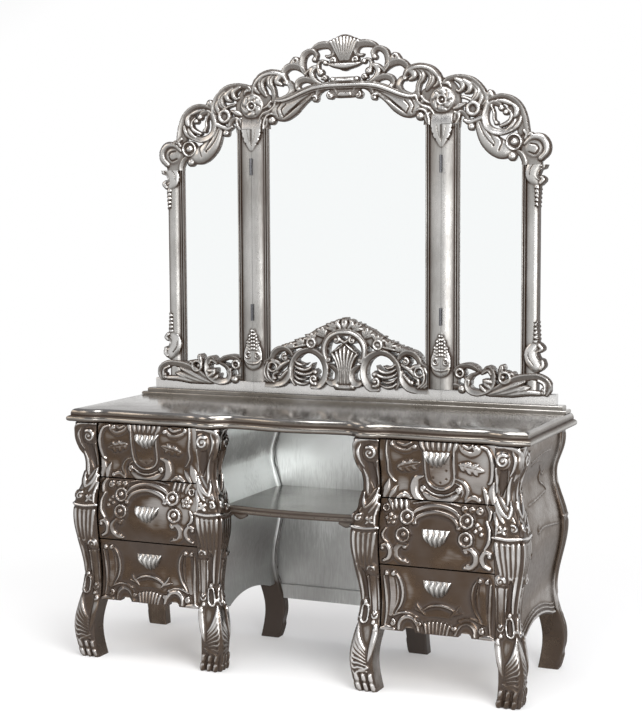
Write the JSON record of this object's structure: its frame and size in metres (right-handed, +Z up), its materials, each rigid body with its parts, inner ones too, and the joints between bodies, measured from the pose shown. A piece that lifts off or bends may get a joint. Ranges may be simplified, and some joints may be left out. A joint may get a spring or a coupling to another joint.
{
  "type": "dressing table",
  "caption": "Kneehole dressing table with bombe drawer pedestals on cabriole legs, a shelf between them and a folding triple mirror with a pierced carved crest",
  "frame": {"origin": "on the floor, below the middle of the table's outline", "axes": "+Z up, +X to the right seen from the front, +Y to the back, so the front looks along -Y"},
  "size_m": [1.53, 0.5106, 1.9795],
  "materials": {
    "silver_leaf": "carved wood under antique silver leaf with a dark brown glaze in the hollows",
    "mirror_glass": "silvered mirror glass",
    "plain_board": "stained plain board",
    "drawer_wood": "clear lacquered wood",
    "hinge_steel": "dark steel",
    "pull_metal": "cast metal with a worn silver finish"
  },
  "bodies": {
    "table": {"top_board": "silver_leaf", "left_outer_front_leg": "silver_leaf", "left_outer_rear_leg": "silver_leaf", "left_outer_side_panel": "silver_leaf", "left_inner_front_leg": "silver_leaf", "left_inner_rear_leg": "silver_leaf", "left_inner_side_panel": "silver_leaf", "left_back_panel": "plain_board", "left_dust_boards": "drawer_wood", "right_outer_front_leg": "silver_leaf", "right_outer_rear_leg": "silver_leaf", "right_outer_side_panel": "silver_leaf", "right_inner_front_leg": "silver_leaf", "right_inner_rear_leg": "silver_leaf", "right_inner_side_panel": "silver_leaf", "right_back_panel": "plain_board", "right_dust_boards": "drawer_wood", "kneehole_shelf": "silver_leaf", "kneehole_back_panel": "silver_leaf", "mirror_plinth": "silver_leaf", "centre_left_stile": "silver_leaf", "centre_right_stile": "silver_leaf", "centre_crest": "silver_leaf", "centre_bottom_rail": "silver_leaf", "centre_glass": "mirror_glass", "centre_backing": "plain_board", "left_hinge_fixed_leaves": "hinge_steel", "right_hinge_fixed_leaves": "hinge_steel"},
    "left_wing": {"left_wing_inner_stile": "silver_leaf", "left_wing_outer_stile": "silver_leaf", "left_wing_crest": "silver_leaf", "left_wing_bottom_rail": "silver_leaf", "left_wing_glass": "mirror_glass", "left_wing_backing": "plain_board", "left_hinge_moving_leaves": "hinge_steel"},
    "right_wing": {"right_wing_inner_stile": "silver_leaf", "right_wing_outer_stile": "silver_leaf", "right_wing_crest": "silver_leaf", "right_wing_bottom_rail": "silver_leaf", "right_wing_glass": "mirror_glass", "right_wing_backing": "plain_board", "right_hinge_moving_leaves": "hinge_steel"},
    "left_upper_drawer": {"left_upper_drawer_front": "silver_leaf", "left_upper_drawer_box": "drawer_wood", "left_upper_drawer_pull": "pull_metal"},
    "left_middle_drawer": {"left_middle_drawer_front": "silver_leaf", "left_middle_drawer_box": "drawer_wood", "left_middle_drawer_pull": "pull_metal"},
    "left_lower_drawer": {"left_lower_drawer_front": "silver_leaf", "left_lower_drawer_box": "drawer_wood", "left_lower_drawer_pull": "pull_metal"},
    "right_upper_drawer": {"right_upper_drawer_front": "silver_leaf", "right_upper_drawer_box": "drawer_wood", "right_upper_drawer_pull": "pull_metal"},
    "right_middle_drawer": {"right_middle_drawer_front": "silver_leaf", "right_middle_drawer_box": "drawer_wood", "right_middle_drawer_pull": "pull_metal"},
    "right_lower_drawer": {"right_lower_drawer_front": "silver_leaf", "right_lower_drawer_box": "drawer_wood", "right_lower_drawer_pull": "pull_metal"}
  },
  "joints": [
    {"name": "left_wing_hinge", "type": "hinge", "parent": "table", "child": "left_wing", "pos_m": [-0.331, 0.216, 1.3], "axis": [0, 0, 1], "range_deg": [0, 60]},
    {"name": "right_wing_hinge", "type": "hinge", "parent": "table", "child": "right_wing", "pos_m": [0.331, 0.216, 1.3], "axis": [0, 0, -1], "range_deg": [0, 60]},
    {"name": "left_upper_drawer_slide", "type": "slide", "parent": "table", "child": "left_upper_drawer", "axis": [0, -1, 0], "range_m": [0, 0.28]},
    {"name": "left_middle_drawer_slide", "type": "slide", "parent": "table", "child": "left_middle_drawer", "axis": [0, -1, 0], "range_m": [0, 0.28]},
    {"name": "left_lower_drawer_slide", "type": "slide", "parent": "table", "child": "left_lower_drawer", "axis": [0, -1, 0], "range_m": [0, 0.28]},
    {"name": "right_upper_drawer_slide", "type": "slide", "parent": "table", "child": "right_upper_drawer", "axis": [0, -1, 0], "range_m": [0, 0.28]},
    {"name": "right_middle_drawer_slide", "type": "slide", "parent": "table", "child": "right_middle_drawer", "axis": [0, -1, 0], "range_m": [0, 0.28]},
    {"name": "right_lower_drawer_slide", "type": "slide", "parent": "table", "child": "right_lower_drawer", "axis": [0, -1, 0], "range_m": [0, 0.28]}
  ]
}
